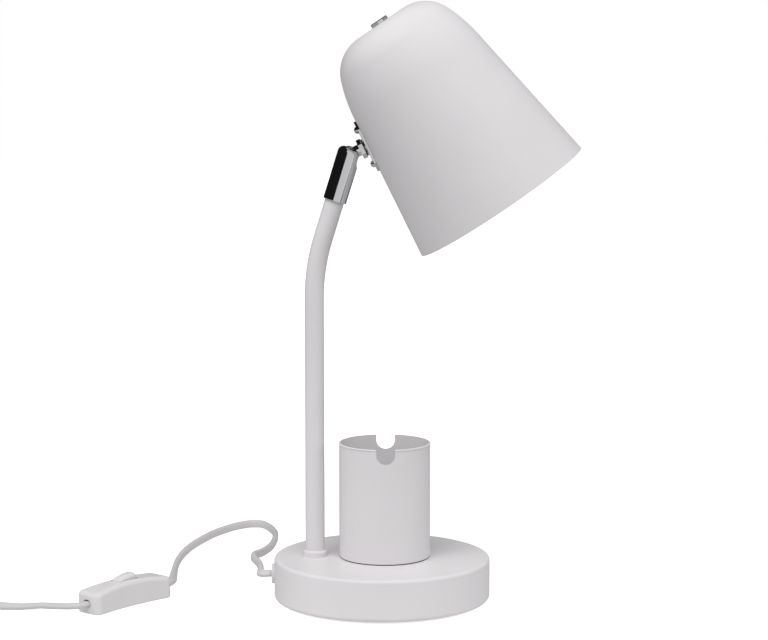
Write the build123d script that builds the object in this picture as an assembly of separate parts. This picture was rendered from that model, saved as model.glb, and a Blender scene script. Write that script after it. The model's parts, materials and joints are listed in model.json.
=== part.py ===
from build123d import *
import os
from math import ceil, cos, hypot, pi, radians, sin, sqrt, tan

# A desk lamp on a round weighted base that also carries a pen cup. Its conical shade hangs
# from a slotted ball joint on a bent tube, and a switch sits in the flat lead.
# Millimetres and degrees. The base stands on z = 0 with its axis on Z, +X is the side that
# the shade reaches over, and the lead leaves on the -X side.

# ---- Fits ----
SLIP = 0.05  # radial clearance of a screw, nipple or lead in its hole
TURNING = 0.1  # radial clearance of a sleeve or pin that turns
RUN_GAP = 0.3  # gap between pieces that move past each other

# ---- Base ----
BASE_RADIUS = 75.0
BASE_TOP = 30.6
BASE_WALL = 1.2
BASE_TOP_EDGE = 2.2
BASE_FOOT_EDGE = 3.0
LIP_HEIGHT = 1.5  # the shell's turned-in lip above the floor
LIP_WIDTH = 5.0
LIP_CLEARANCE = 0.4
BALLAST_THICK = 12.0
BALLAST_NOTCH = 14.8  # radius of the notch beside the gland
BALLAST_NOTCH_IN = 3.0  # its centre, inside the base's edge
BALLAST_NOTCH_Y = 6.9
LEG_RADIUS = 5.0
LEG_INSET = 8.5  # a leg's centre, inside the pad's edge
LEG_COUNT = 3
PLATE_THICK = 1.0
PAD_MARGIN = 4.0  # between the pad and the lip's opening
PAD_THICK = 2.0
PAD_HOLE = 4.5
M3_RADIUS = 1.5
M3_HEAD_RADIUS = 3.3
M3_HEAD_HEIGHT = 1.4
LEG_SCREW_REACH = 9.0

# ---- Pen cup ----
CUP_X = 1.8
CUP_RADIUS = 31.6
CUP_HEIGHT = 79.8
CUP_WALL = 1.0
CUP_FLOOR = 1.2
CUP_FOOT_EDGE = 0.7
CUP_BEAD = 0.6
NOTCH_WIDTH = 12.9
NOTCH_DEPTH = 10.3
NOTCH_X = 0.7  # to one side of the cup's axis
GASKET_RADIUS = 30.6
GASKET_THICK = 0.6
CUP_SCREW_RADIUS = 2.5
CUP_SCREW_LENGTH = 13.0
CUP_SCREW_HEAD = 4.5
CUP_SCREW_HEAD_HEIGHT = 2.6
CUP_SCREW_SLOT_LENGTH = 6.0
CUP_SCREW_SLOT_WIDTH = 1.2
CUP_SCREW_SLOT_DEPTH = 1.2
CUP_WASHER_RADIUS = 6.5
WASHER_THICK = 1.0

# ---- Tube ----
TUBE_INSET = 28.4  # the tube's axis, inside the base's edge
TUBE_RADIUS = 6.7
TUBE_BORE = 5.05
TUBE_STRAIGHT = 181.0  # from the base's top to the start of the bend
BEND_RADIUS = 139.2
BEND_ANGLE = 17.2
TUBE_PAST_BEND = 26.9  # to where the sleeve begins
TUBE_IN_SLEEVE = 12.0
COLLAR_RADIUS = 8.4
COLLAR_HEIGHT = 4.6
COLLAR_EDGE = 1.5
NIPPLE_RADIUS = 5.0
NIPPLE_BORE = 3.5
NIPPLE_IN_TUBE = 12.0
TUBE_NUT_FLATS = 14.0
TUBE_NUT_HEIGHT = 4.0
LOCK_WASHER_RADIUS = 9.0
THREAD_END = 1.0  # how far a thread stands past its nut

# ---- Ball joint ----
SLEEVE_RADIUS = 8.1
SLEEVE_LENGTH = 38.0
SLEEVE_DOME = 4.0
SLEEVE_FOOT_EDGE = 0.5
BALL_RADIUS = 6.5
BALL_HEIGHT = 32.5  # the ball's centre above the sleeve's lower end
STEM_RADIUS = 4.0
STEM_BORE = 2.4
SLOT_CLEARANCE = 0.4
SLOT_END = 25.8  # the slot's lower end above the sleeve's lower end
BUSH_HEIGHT = 3.0
TOP_NIPPLE_BORE = 3.0
TOP_NIPPLE_GRIP = 10.0
TOP_NIPPLE_HEAD = 1.5
TOP_NIPPLE_HEAD_RADIUS = 6.3
SEAT_LENGTH = 9.5
SEAT_RIM = 4.5  # the seat's rim below the ball's centre
STEM_REACH = 13.0  # from the ball's centre to the plate's face
STEM_NUT_FLATS = 12.0
STEM_NUT_HEIGHT = 3.0
STEM_WASHER_RADIUS = 6.0
LOCK_NUT_FLATS = 12.5
LOCK_NUT_HEIGHT = 3.5

# ---- Shade ----
SHADE_ANGLE = 145.7  # from straight up to the way that the mouth faces
SHADE_LENGTH = 146.4
SHADE_FLAT = 18.7
CROWN_RADIUS = 27.2
CROWN_SWEEP = 67.8
SHOULDER_RADIUS = 110.7
HALF_ANGLE = 8.1
SHADE_WALL = 1.0
JOINT_STATION = 63.7  # along the shade's axis, from its flat top to the joint
JOINT_PLATE_LENGTH = 37.4
JOINT_PLATE_WIDTH = 16.0
JOINT_PLATE_THICK = 1.4
JOINT_PLATE_EDGE = 0.35
PLATE_SEAT = 0.1  # between the plate and the shade
PLATE_SCREW_PITCH = 25.6
DOME_RADIUS = 2.5
DOME_HEIGHT = 2.3
PLATE_NUT_FLATS = 5.5
PLATE_NUT_HEIGHT = 2.4
PLATE_NUT_SEAT = 0.2

# ---- Lampholder and bulb ----
FINIAL_RADIUS = 6.35
FINIAL_HEIGHT = 2.6
FINIAL_EDGE = 0.5
HOLDER_NUT_FLATS = 14.0
HOLDER_NUT_HEIGHT = 3.0
HOLDER_NIPPLE_REACH = 12.0
HOLDER_RADIUS = 14.0
HOLDER_WALL = 1.8
CAP_START = 5.0
CAP_LENGTH = 15.0
HOLDER_LENGTH = 32.0
HOLDER_EDGE = 1.5
INSERT_START = 3.0  # the insulator's face past the cap's end
INSERT_THICK = 5.0
SHELL_RADIUS = 7.35
SHELL_WALL = 0.3
SHELL_LENGTH = 20.0
CONTACT_RADIUS = 2.6
CONTACT_THICK = 0.6
BULB_CAP_RADIUS = 6.95
BULB_CAP_LENGTH = 19.0
BULB_CAP_GAP = 2.0  # from the insulator to the bulb's contact
BULB_CONTACT_HEIGHT = 1.4
GLOBE_RADIUS = 22.5
GLOBE_WALL = 0.8
GLOBE_NECK_RADIUS = 6.4
GLOBE_CENTRE = 31.0  # past the end of the bulb's cap
HEAD_LEAD_OUT = 14.0  # the cores run straight on from the stem this far past the shade's wall
HEAD_LEAD_IN = 7.0  # and straight in to the holder's side from this far off it
HEAD_LEAD_ASIDE = 2.0  # between them they pass this far outside the middle of the gap
HEAD_LEAD_TURN = 9.0  # from the holder's mouth back to where they turn
HEAD_LEAD_UP = 6.0  # and from the cap's end to where they turn again

# ---- Lead ----
LEAD = 6.2  # the flat lead's width, and the diameter of its solids
CORE_RADIUS = 2.0
LEAD_OUT = 8.1  # from the gland's face to the lead's first bend
SWITCH_LEAVE = 5.5  # the lead keeps to the switch's line this far on each side of it
GLAND_HEIGHT = 18.0
GLAND_RADIUS = 6.9
GLAND_STAND = 1.9
GLAND_NECK = 4.8
GLAND_COLLAR = 6.2
GLAND_REACH = 4.5
CLAMP_X = -31.0
CLAMP_Y = 28.0
CLAMP_LENGTH = 7.0
CLAMP_WIDTH = 21.0
CLAMP_THICK = 5.2
CLAMP_SCREW_PITCH = 15.0
CLAMP_SCREW_REACH = 8.0
BEND_SHARE = 0.45  # how much of the shorter run a bend takes

# ---- Switch in the lead ----
SWITCH_X = -177.8
SWITCH_Y = -16.1
SWITCH_TURN = 49.6
SWITCH_LENGTH = 71.0
SWITCH_WIDTH = 20.8
SWITCH_WAIST = 2.2  # how far each side is drawn in at the middle
SWITCH_END_HEIGHT = 12.4
SWITCH_TOP = 17.9
SWITCH_CORNER = 4.6
SWITCH_EDGE = 3.0
SWITCH_FOOT_EDGE = 1.2
SWITCH_WALL = 1.8
SWITCH_SPLIT = 6.9
SWITCH_SLOT_HEIGHT = 4.2
SWITCH_SCREW_X = 24.0
SWITCH_SCREW_Y = -5.2
SWITCH_BOSS = 2.8
SWITCH_SCREW_RADIUS = 1.0
SWITCH_SCREW_HEAD = 2.3  # radius of the hole for its head
ROCKER_SWEEP = 9.5
ROCKER_WIDTH = 8.0
ROCKER_CORNER = 3.5
WINDOW_CORNER = 1.8  # tighter than the rocker's, because the rocker leans into it
ROCKER_PIVOT = 14.4
ROCKER_TOP = 19.5
ROCKER_CROWN = 0.4  # how much higher its top is in the middle
ROCKER_THROW = 20.0
ROCKER_FOOT = 1.4  # the rocker's underside below its pivot
ROCKER_EDGE = 1.0
PIVOT_RADIUS = 1.2
PIVOT_END = 6.0
PIVOT_EAR = 2.5  # half the length of the ears that carry the pivot
TERMINAL_LENGTH = 9.0
TERMINAL_SIZE = 3.4
TERMINAL_X = 15.0
TERMINAL_Y = 4.6

# ---- Coil, tie and plug ----
COIL_X = -312.0
COIL_Y = -72.4
COIL_RADIUS = 42.4
COIL_TURNS = 5.25
COIL_PITCH = 6.8
COIL_LAYER = 6.8
COIL_LIFT = 1.1  # room for the tie under the coil
CLIMB_TURNS = 0.5
COIL_STRAIGHT_IN = 12.0
EXIT_LEVEL = 8.0  # the top turn runs on nearly level this far, clear of the turn below it
EXIT_SAG = 0.3
EXIT_LENGTH = 28.0  # and has come down to the plug's height here
TIE_ANGLE = -20.0
TIE_WIDTH = 7.0
TIE_THICK = 0.8
TIE_GAP = 0.3
PLUG_LENGTH = 32.0
PLUG_WIDTH = 35.3
PLUG_NECK_WIDTH = 15.0
PLUG_SHOULDER = 13.0
PLUG_HEIGHT = 13.7
PLUG_EDGE = 2.0
RELIEF_LENGTH = 22.0
RELIEF_END_RADIUS = 3.4
RELIEF_ROOT_RADIUS = 5.2
PIN_RADIUS = 2.0
PIN_LENGTH = 19.0
PIN_PITCH = 18.2

# ---- Worked out from the sizes above ----
SHELL_INSIDE = BASE_RADIUS - BASE_WALL
LIP_OPENING = BASE_RADIUS - LIP_WIDTH
SHELL_CEILING = BASE_TOP - BASE_WALL
BALLAST_RADIUS = LIP_OPENING - LIP_CLEARANCE
BALLAST_FOOT = SHELL_CEILING - BALLAST_THICK
PLATE_TOP = PAD_THICK + PLATE_THICK
PAD_RADIUS = LIP_OPENING - PAD_MARGIN
LEG_CIRCLE = PAD_RADIUS - LEG_INSET
TUBE_X = TUBE_INSET - BASE_RADIUS
CUP_LOW = BASE_TOP + GASKET_THICK
CUP_RIM = CUP_LOW + CUP_HEIGHT
CUP_INSIDE = CUP_LOW + CUP_FLOOR
BEND_CORNER = BASE_TOP + TUBE_STRAIGHT + BEND_RADIUS * tan(radians(BEND_ANGLE / 2))
NIPPLE_FOOT = BALLAST_FOOT - WASHER_THICK - TUBE_NUT_HEIGHT - THREAD_END
STEM_LEAN = SHADE_ANGLE - 90 + HALF_ANGLE
WALL_OUTSIDE = STEM_REACH + JOINT_PLATE_THICK + PLATE_SEAT
WALL_INSIDE = WALL_OUTSIDE + SHADE_WALL
LEAD_RADIUS = LEAD / 2


def leaning(origin, angle):
    """A frame whose Z leans from straight up towards +X by the angle."""
    a = radians(angle)
    return Plane(origin=origin, x_dir=(cos(a), 0, -sin(a)), z_dir=(sin(a), 0, cos(a)))


def rod(radius, low, high, x=0.0, y=0.0):
    """A cylinder along Z between two heights."""
    return Pos(x, y, low) * Cylinder(radius, high - low, align=(Align.CENTER, Align.CENTER, Align.MIN))


def ring(radius, bore, low, high, x=0.0, y=0.0):
    """A round piece with a round hole, between two heights."""
    return rod(radius, low, high, x, y) - rod(bore, low, high, x, y)


def hex_nut(flats, bore, low, high, x=0.0, y=0.0):
    """A hexagon nut with a plain hole."""
    corner_radius = flats / 2 / cos(pi / 6)
    blank = Pos(x, y, low) * extrude(RegularPolygon(corner_radius, 6), high - low)
    return blank - rod(bore, low, high, x, y)


def block(x, y, z):
    """A box given by its low and high value along each axis."""
    size = [high - low for low, high in (x, y, z)]
    middle = [(low + high) / 2 for low, high in (x, y, z)]
    return Pos(*middle) * Box(*size)


def edges_at(solid, z, radius=None):
    """The circular edges at one height, of one radius if it is given."""
    flat = solid.edges().filter_by(GeomType.CIRCLE).filter_by_position(Axis.Z, z - 0.01, z + 0.01)
    return [edge for edge in flat if radius is None or abs(edge.radius - radius) < 0.01]


def bend_radii(points, share):
    """The radius of each bend of a route, from the runs on each side of it."""
    radii = []
    for before, corner, after in zip(points, points[1:], points[2:]):
        run_in = Vector(corner) - Vector(before)
        run_out = Vector(after) - Vector(corner)
        turn = radians(run_in.get_angle(run_out))
        radii.append(share * min(run_in.length, run_out.length) / tan(turn / 2))
    return radii


def tube_along(path, radius):
    """A round tube swept from the start of a path."""
    start = Plane(origin=path @ 0, z_dir=path % 0)
    return sweep(start * Circle(radius), path=path)


def tube_on_route(name, points, radius, share=BEND_SHARE):
    """A round tube along straight runs joined by tangent arcs."""
    radii = bend_radii(points, share)
    print(name, "bend radii", [round(r, 1) for r in radii])
    path = FilletPolyline(*points, radius=radii)
    tube = tube_along(path, radius)
    print(name, "length", round(path.length, 1), "volume ratio",
          round(tube.volume / (path.length * pi * radius**2), 4))
    return tube


# ---- Frames ----
GLAND_FACE = -(BASE_RADIUS + GLAND_STAND)
BEND_RUN = BEND_RADIUS * tan(radians(BEND_ANGLE / 2))
sleeve_frame = leaning(
    leaning((TUBE_X, 0, BEND_CORNER), BEND_ANGLE).from_local_coords((0, 0, BEND_RUN + TUBE_PAST_BEND)),
    BEND_ANGLE,
)
ball_centre = sleeve_frame.from_local_coords((0, 0, BALL_HEIGHT))
stem_frame = leaning(ball_centre, STEM_LEAN)


def shade_points(offset):
    """Where the shade's profile changes, drawn in by an offset: radius and distance from the flat top."""
    sweep_end = 90 - HALF_ANGLE
    crown = Vector(SHADE_FLAT, CROWN_RADIUS)
    crown_end = crown + Vector(sin(radians(CROWN_SWEEP)), -cos(radians(CROWN_SWEEP))) * CROWN_RADIUS
    shoulder = crown_end - Vector(sin(radians(CROWN_SWEEP)), -cos(radians(CROWN_SWEEP))) * SHOULDER_RADIUS

    def on(centre, radius, angle):
        a = radians(angle)
        return centre + Vector(sin(a), -cos(a)) * (radius - offset)

    cone_start = on(shoulder, SHOULDER_RADIUS, sweep_end)
    run = SHADE_LENGTH - cone_start.Y
    return [
        Vector(SHADE_FLAT, offset),
        on(crown, CROWN_RADIUS, CROWN_SWEEP / 2),
        on(crown, CROWN_RADIUS, CROWN_SWEEP),
        on(shoulder, SHOULDER_RADIUS, (CROWN_SWEEP + sweep_end) / 2),
        cone_start,
        cone_start + Vector(run * tan(radians(HALF_ANGLE)), run),
    ]


def wall_radius(station):
    """The shade's outer radius on its cone, at a distance from the flat top."""
    start = shade_points(0)[4]
    return start.X + (station - start.Y) * tan(radians(HALF_ANGLE))


shade_lean = leaning((0, 0, 0), SHADE_ANGLE)
wall_at_joint = stem_frame.from_local_coords((0, 0, WALL_OUTSIDE))
shade_frame = leaning(
    wall_at_joint - shade_lean.from_local_coords((wall_radius(JOINT_STATION), 0, JOINT_STATION)),
    SHADE_ANGLE,
)
switch_frame = Plane(
    origin=(SWITCH_X, SWITCH_Y, 0),
    x_dir=(cos(radians(SWITCH_TURN)), sin(radians(SWITCH_TURN)), 0),
    z_dir=(0, 0, 1),
)

parts = {}


# ---- Base ----
leg_spots = [
    (LEG_CIRCLE * cos(2 * pi * i / LEG_COUNT), LEG_CIRCLE * sin(2 * pi * i / LEG_COUNT))
    for i in range(LEG_COUNT)
]
clamp_spots = [(CLAMP_X, CLAMP_Y + side * CLAMP_SCREW_PITCH / 2) for side in (-1, 1)]
gland_axis = Plane(origin=(0, 0, GLAND_HEIGHT), x_dir=(0, 1, 0), z_dir=(-1, 0, 0))


def base_shell():
    outside = rod(BASE_RADIUS, LIP_HEIGHT, BASE_TOP)
    outside = fillet(edges_at(outside, BASE_TOP), BASE_TOP_EDGE)
    outside = fillet(edges_at(outside, LIP_HEIGHT), BASE_FOOT_EDGE)
    inside = rod(SHELL_INSIDE, LIP_HEIGHT + BASE_WALL, SHELL_CEILING)
    inside = fillet(edges_at(inside, SHELL_CEILING), BASE_TOP_EDGE - BASE_WALL)
    inside = fillet(edges_at(inside, LIP_HEIGHT + BASE_WALL), BASE_FOOT_EDGE - BASE_WALL)
    shell = outside - inside - rod(LIP_OPENING, 0, LIP_HEIGHT + BASE_WALL)
    shell -= rod(NIPPLE_RADIUS + SLIP, SHELL_CEILING, BASE_TOP, TUBE_X)
    shell -= rod(CUP_SCREW_RADIUS + SLIP, SHELL_CEILING, BASE_TOP, CUP_X)
    return shell - gland_axis * rod(GLAND_NECK + SLIP, LIP_OPENING, BASE_RADIUS)


def base_ballast():
    weight = rod(BALLAST_RADIUS, BALLAST_FOOT, SHELL_CEILING)
    for x, y in leg_spots:
        weight += rod(LEG_RADIUS, PLATE_TOP, BALLAST_FOOT, x, y)
        weight -= rod(M3_RADIUS + SLIP, PLATE_TOP, PLATE_TOP + LEG_SCREW_REACH, x, y)
    for x, y in clamp_spots:
        weight -= rod(M3_RADIUS + SLIP, BALLAST_FOOT, BALLAST_FOOT + CLAMP_SCREW_REACH, x, y)
    weight -= rod(NIPPLE_RADIUS + SLIP, BALLAST_FOOT, SHELL_CEILING, TUBE_X)
    weight -= rod(CUP_SCREW_RADIUS + SLIP, BALLAST_FOOT, SHELL_CEILING, CUP_X)
    # The notch that leaves room for the gland and lets the lead down below the weight.
    notch_x = BALLAST_NOTCH_IN - BASE_RADIUS
    return weight - rod(BALLAST_NOTCH, BALLAST_FOOT, SHELL_CEILING, notch_x, BALLAST_NOTCH_Y)


def bottom_plate():
    plate = rod(BALLAST_RADIUS, PAD_THICK, PLATE_TOP)
    for x, y in leg_spots:
        plate -= rod(M3_RADIUS + SLIP, PAD_THICK, PLATE_TOP, x, y)
    return plate


def foot_pad():
    pad = rod(PAD_RADIUS, 0, PAD_THICK)
    for x, y in leg_spots:
        pad -= rod(PAD_HOLE, 0, PAD_THICK, x, y)
    return pad


def upward_screw(x, y, seat, reach):
    """A pan-head screw driven in from below, its head under the seat."""
    head = rod(M3_HEAD_RADIUS, seat - M3_HEAD_HEIGHT, seat, x, y)
    return head + rod(M3_RADIUS, seat, seat + reach, x, y)


parts["base_shell"] = base_shell()
parts["base_ballast"] = base_ballast()
parts["bottom_plate"] = bottom_plate()
parts["foot_pad"] = foot_pad()
parts["bottom_screws"] = Compound(
    [upward_screw(x, y, PAD_THICK, PLATE_THICK + LEG_SCREW_REACH - 1).solid() for x, y in leg_spots]
)


# ---- Pen cup ----
def pen_cup():
    cup = rod(CUP_RADIUS, CUP_LOW, CUP_RIM)
    cup = fillet(edges_at(cup, CUP_LOW), CUP_FOOT_EDGE)
    cup += Pos(0, 0, CUP_RIM - CUP_BEAD) * Torus(CUP_RADIUS - CUP_WALL / 2 + CUP_BEAD / 2, CUP_BEAD)
    cup -= rod(CUP_RADIUS - CUP_WALL, CUP_INSIDE, CUP_RIM)
    cup -= rod(CUP_SCREW_RADIUS + SLIP, CUP_LOW, CUP_INSIDE)
    # Two notches in line across the cup let a flat device stand in it.
    notch_centre = CUP_RIM - NOTCH_DEPTH + NOTCH_WIDTH / 2
    reach = CUP_RADIUS + CUP_BEAD + 1
    across = (NOTCH_X - NOTCH_WIDTH / 2, NOTCH_X + NOTCH_WIDTH / 2)
    cup -= block(across, (-reach, reach), (notch_centre, CUP_RIM + 1))
    cup -= Pos(NOTCH_X, 0, notch_centre) * Rot(90, 0, 0) * Cylinder(NOTCH_WIDTH / 2, 2 * reach)
    return Pos(CUP_X, 0, 0) * cup


def cup_screw():
    seat = CUP_INSIDE + WASHER_THICK
    head = rod(CUP_SCREW_HEAD, seat, seat + CUP_SCREW_HEAD_HEIGHT, CUP_X)
    head = fillet(edges_at(head, seat + CUP_SCREW_HEAD_HEIGHT), CUP_SCREW_HEAD_HEIGHT / 2)
    crown = seat + CUP_SCREW_HEAD_HEIGHT
    half_width, half_length = CUP_SCREW_SLOT_WIDTH / 2, CUP_SCREW_SLOT_LENGTH / 2
    head -= block(
        (CUP_X - half_width, CUP_X + half_width), (-half_length, half_length),
        (crown - CUP_SCREW_SLOT_DEPTH, crown),
    )
    return head + rod(CUP_SCREW_RADIUS, seat - CUP_SCREW_LENGTH, seat, CUP_X)


parts["pen_cup"] = pen_cup()
parts["cup_gasket"] = ring(GASKET_RADIUS, CUP_SCREW_RADIUS + SLIP, BASE_TOP, CUP_LOW, CUP_X)
parts["cup_screw"] = cup_screw()
parts["cup_washer"] = ring(
    CUP_WASHER_RADIUS, CUP_SCREW_RADIUS + SLIP, CUP_INSIDE, CUP_INSIDE + WASHER_THICK, CUP_X
)


# ---- Tube ----
def tube_path(low, past_sleeve):
    """The tube's centreline, from a height at its foot to a distance up the sleeve."""
    lean = leaning((TUBE_X, 0, BEND_CORNER), BEND_ANGLE)
    end = lean.from_local_coords((0, 0, BEND_RUN + TUBE_PAST_BEND + past_sleeve))
    return FilletPolyline((TUBE_X, 0, low), (TUBE_X, 0, BEND_CORNER), end, radius=BEND_RADIUS)


def tube_collar():
    collar = rod(COLLAR_RADIUS, BASE_TOP, BASE_TOP + COLLAR_HEIGHT, TUBE_X)
    collar = fillet(edges_at(collar, BASE_TOP + COLLAR_HEIGHT), COLLAR_EDGE)
    return collar - rod(TUBE_RADIUS + SLIP, BASE_TOP, BASE_TOP + COLLAR_HEIGHT, TUBE_X)


tube_line = tube_path(BASE_TOP, TUBE_IN_SLEEVE)
lock_washer_low = BALLAST_FOOT - WASHER_THICK
parts["lamp_tube"] = tube_along(tube_line, TUBE_RADIUS) - tube_along(tube_line, TUBE_BORE)
parts["tube_collar"] = tube_collar()
parts["tube_nipple"] = ring(
    NIPPLE_RADIUS, NIPPLE_BORE, NIPPLE_FOOT, BASE_TOP + NIPPLE_IN_TUBE, TUBE_X
)
parts["lock_washer"] = ring(
    LOCK_WASHER_RADIUS, NIPPLE_RADIUS + SLIP, lock_washer_low, BALLAST_FOOT, TUBE_X
)
parts["tube_nut"] = hex_nut(
    TUBE_NUT_FLATS, NIPPLE_RADIUS + SLIP, lock_washer_low - TUBE_NUT_HEIGHT, lock_washer_low, TUBE_X
)


# ---- Ball joint: the sleeve turns on the tube's end, and the ball leans in its slot ----
SLEEVE_BORE = TUBE_RADIUS + TURNING
SOCKET_RADIUS = BALL_RADIUS + RUN_GAP
SLOT_HALF = STEM_RADIUS + SLOT_CLEARANCE
BUSH_LOW = TUBE_IN_SLEEVE + RUN_GAP
HEAD_LOW = BUSH_LOW + BUSH_HEIGHT + RUN_GAP
SEAT_TOP = BALL_HEIGHT - SEAT_RIM


def joint_sleeve():
    sleeve = rod(SLEEVE_RADIUS, 0, SLEEVE_LENGTH)
    sleeve = fillet(edges_at(sleeve, SLEEVE_LENGTH), SLEEVE_DOME)
    sleeve = fillet(edges_at(sleeve, 0), SLEEVE_FOOT_EDGE)
    sleeve -= rod(SLEEVE_BORE, 0, BALL_HEIGHT)
    sleeve -= Pos(0, 0, BALL_HEIGHT) * Sphere(SOCKET_RADIUS)
    sleeve -= rod(SLOT_HALF, BALL_HEIGHT, SLEEVE_LENGTH)
    slot_centre = SLOT_END + SLOT_HALF
    sleeve -= block((0, SLEEVE_RADIUS + 1), (-SLOT_HALF, SLOT_HALF), (slot_centre, SLEEVE_LENGTH))
    slot_foot = Pos(SLEEVE_RADIUS / 2, 0, slot_centre) * Rot(0, 90, 0)
    return sleeve - slot_foot * Cylinder(SLOT_HALF, SLEEVE_RADIUS)


def tube_top_nipple():
    head_top = HEAD_LOW + TOP_NIPPLE_HEAD
    nipple = rod(NIPPLE_RADIUS, TUBE_IN_SLEEVE - TOP_NIPPLE_GRIP, HEAD_LOW)
    nipple += rod(TOP_NIPPLE_HEAD_RADIUS, HEAD_LOW, head_top)
    return nipple - rod(TOP_NIPPLE_BORE, TUBE_IN_SLEEVE - TOP_NIPPLE_GRIP, head_top)


def ball_seat():
    seat = ring(SLEEVE_BORE - SLIP, CORE_RADIUS + RUN_GAP, SEAT_TOP - SEAT_LENGTH, SEAT_TOP)
    return seat - Pos(0, 0, BALL_HEIGHT) * Sphere(SOCKET_RADIUS)


def ball_stem():
    thread_end = WALL_INSIDE + LOCK_NUT_HEIGHT + 2 * THREAD_END
    stem = Sphere(BALL_RADIUS) + rod(STEM_RADIUS, 0, thread_end)
    return stem - rod(STEM_BORE, -BALL_RADIUS, thread_end)


parts["joint_sleeve"] = sleeve_frame * joint_sleeve()
parts["sleeve_bush"] = sleeve_frame * ring(
    SLEEVE_BORE - SLIP, NIPPLE_RADIUS + TURNING, BUSH_LOW, BUSH_LOW + BUSH_HEIGHT
)
parts["tube_top_nipple"] = sleeve_frame * tube_top_nipple()
parts["ball_seat"] = sleeve_frame * ball_seat()

stem_washer_top = STEM_REACH - RUN_GAP
stem_nut_top = stem_washer_top - WASHER_THICK
lock_nut_low = WALL_INSIDE + 3 * RUN_GAP
parts["ball_stem"] = stem_frame * ball_stem()
parts["stem_nut"] = stem_frame * hex_nut(
    STEM_NUT_FLATS, STEM_RADIUS + SLIP, stem_nut_top - STEM_NUT_HEIGHT, stem_nut_top
)
parts["stem_washer"] = stem_frame * ring(
    STEM_WASHER_RADIUS, STEM_RADIUS + SLIP, stem_nut_top, stem_washer_top
)
parts["stem_lock_nut"] = stem_frame * hex_nut(
    LOCK_NUT_FLATS, STEM_RADIUS + SLIP, lock_nut_low, lock_nut_low + LOCK_NUT_HEIGHT
)


# ---- Shade and the plate that carries it ----
plate_screw_spots = [-PLATE_SCREW_PITCH / 2, PLATE_SCREW_PITCH / 2]


def through_wall(solid):
    """The holes that the stem and the plate's screws need in a piece of the shade's wall."""
    solid -= stem_frame * rod(STEM_RADIUS + RUN_GAP, 0, 2 * WALL_INSIDE)
    for x in plate_screw_spots:
        solid -= stem_frame * rod(M3_RADIUS + SLIP, 0, 2 * WALL_INSIDE, x)
    return solid


def shade():
    outer = shade_points(0)
    inner = shade_points(SHADE_WALL)
    profile = [
        Line((0, 0), outer[0]),
        ThreePointArc(outer[0], outer[1], outer[2]),
        ThreePointArc(outer[2], outer[3], outer[4]),
        Line(outer[4], outer[5]),
        Line(outer[5], inner[5]),
        Line(inner[5], inner[4]),
        ThreePointArc(inner[4], inner[3], inner[2]),
        ThreePointArc(inner[2], inner[1], inner[0]),
        Line(inner[0], (0, SHADE_WALL)),
        Line((0, SHADE_WALL), (0, 0)),
    ]
    section = Plane.XZ * make_face(Curve() + profile)
    bell = shade_frame * revolve(section, Axis.Z)
    bell -= shade_frame * rod(NIPPLE_RADIUS + SLIP, -1, 2 * SHADE_WALL)
    return through_wall(bell)


def joint_plate():
    slope = tan(radians(HALF_ANGLE))
    near = JOINT_STATION - JOINT_PLATE_LENGTH
    far = JOINT_STATION + JOINT_PLATE_LENGTH
    seat = PLATE_SEAT / cos(radians(HALF_ANGLE))
    face = seat + JOINT_PLATE_THICK / cos(radians(HALF_ANGLE))
    middle = wall_radius(JOINT_STATION)
    drop = JOINT_PLATE_LENGTH * slope
    strip = Polyline(
        (middle - drop + seat, near),
        (middle - drop + face, near),
        (middle + drop + face, far),
        (middle + drop + seat, far),
        close=True,
    )
    cone = shade_frame * revolve(Plane.XZ * make_face(strip), Axis.Z)
    outline = extrude(SlotOverall(JOINT_PLATE_LENGTH, JOINT_PLATE_WIDTH), 2 * WALL_OUTSIDE)
    return through_wall(cone & (stem_frame * outline))


def plate_screw(x):
    """A dome-head screw through the plate and the shade's wall."""
    seat = STEM_REACH - SLIP
    cap_radius = (DOME_RADIUS**2 + DOME_HEIGHT**2) / (2 * DOME_HEIGHT)
    dome = Pos(x, 0, seat - DOME_HEIGHT + cap_radius) * Sphere(cap_radius)
    dome &= rod(DOME_RADIUS, seat - DOME_HEIGHT, seat, x)
    thread_end = WALL_INSIDE + PLATE_NUT_SEAT + PLATE_NUT_HEIGHT + THREAD_END
    return dome + rod(M3_RADIUS, seat, thread_end, x)


plate_nut_low = WALL_INSIDE + PLATE_NUT_SEAT
parts["shade"] = shade()
parts["joint_plate"] = joint_plate()
parts["plate_screws"] = Compound([(stem_frame * plate_screw(x)).solid() for x in plate_screw_spots])
parts["plate_nuts"] = Compound([
    (stem_frame * hex_nut(
        PLATE_NUT_FLATS, M3_RADIUS + SLIP, plate_nut_low, plate_nut_low + PLATE_NUT_HEIGHT, x
    )).solid()
    for x in plate_screw_spots
])


# ---- Lampholder, hung from the shade's flat top, and its bulb ----
CAP_END = CAP_START + CAP_LENGTH
HOLDER_END = CAP_END + HOLDER_LENGTH
INSERT_LOW = CAP_END + INSERT_START
INSERT_HIGH = INSERT_LOW + INSERT_THICK
BULB_START = INSERT_HIGH + BULB_CAP_GAP + BULB_CONTACT_HEIGHT
BULB_CAP_END = BULB_START + BULB_CAP_LENGTH
LEAD_ENTRY = (CAP_START + CAP_END) / 2 + 1


def finial_nut():
    nut = rod(FINIAL_RADIUS, -FINIAL_HEIGHT, 0)
    nut = chamfer(edges_at(nut, -FINIAL_HEIGHT), FINIAL_EDGE)
    return nut - rod(NIPPLE_RADIUS + SLIP, -FINIAL_HEIGHT, 0)


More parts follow.
